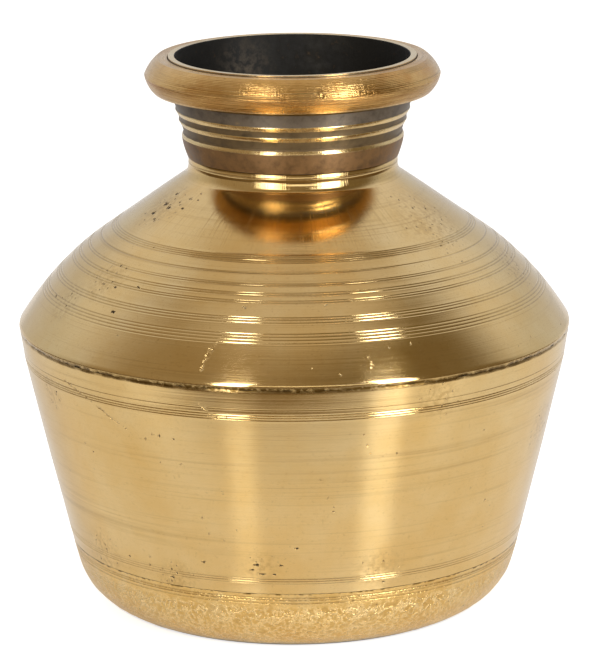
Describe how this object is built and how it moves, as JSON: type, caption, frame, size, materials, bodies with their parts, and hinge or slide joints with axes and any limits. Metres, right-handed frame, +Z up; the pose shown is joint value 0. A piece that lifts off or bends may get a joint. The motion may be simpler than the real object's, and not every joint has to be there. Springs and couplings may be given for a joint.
{
  "type": "kalash pot",
  "caption": "Wide brass water pot with a sloping shoulder, ridged flared neck and heavy bevelled rim ring, turned and brazed, standing on a flat base.",
  "frame": {"origin": "centre of the flat underside that the pot stands on", "axes": "+Z up along the pot's axis of revolution; X and Y are equivalent"},
  "size_m": [0.2512, 0.2512, 0.2521],
  "materials": {
    "rim_brass": "satin turned cast brass with chatter marks",
    "neck_brass": "dark oxidised cast brass with polished ridges",
    "shoulder_brass": "polished brass with turned lines",
    "belly_brass": "polished brass with fine turned lines",
    "base_brass": "peened brass",
    "spelter": "dull brazing filler"
  },
  "bodies": {
    "root": {"rim_ring": "rim_brass", "neck_collar": "neck_brass", "shoulder_shell": "shoulder_brass", "belly_shell": "belly_brass", "base_pan": "base_brass", "rim_braze": "spelter", "neck_braze": "spelter", "belly_braze": "spelter", "base_braze": "spelter"}
  },
  "joints": []
}
